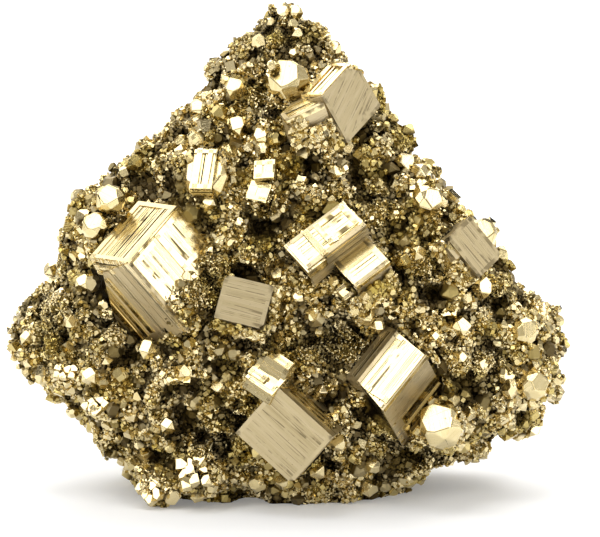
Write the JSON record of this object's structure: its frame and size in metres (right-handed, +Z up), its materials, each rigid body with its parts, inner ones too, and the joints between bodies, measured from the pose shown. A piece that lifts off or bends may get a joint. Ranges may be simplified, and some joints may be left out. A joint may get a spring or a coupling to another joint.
{
  "type": "pyrite specimen",
  "caption": "Natural pyrite cluster: large striated cubes standing in a crust of fine sparkling crystals, broadly triangular, resting on its broken base.",
  "frame": {"origin": "on the flat base the specimen stands on, below the middle of the cluster", "axes": "+Z up, -Y out of the best side with the large cubes, +X to the right seen from the best side; the width runs along X"},
  "size_m": [0.1017, 0.0592, 0.0875],
  "materials": {
    "pyrite": "polished"
  },
  "bodies": {
    "root": {"pyrite_cluster": "pyrite"}
  },
  "joints": []
}
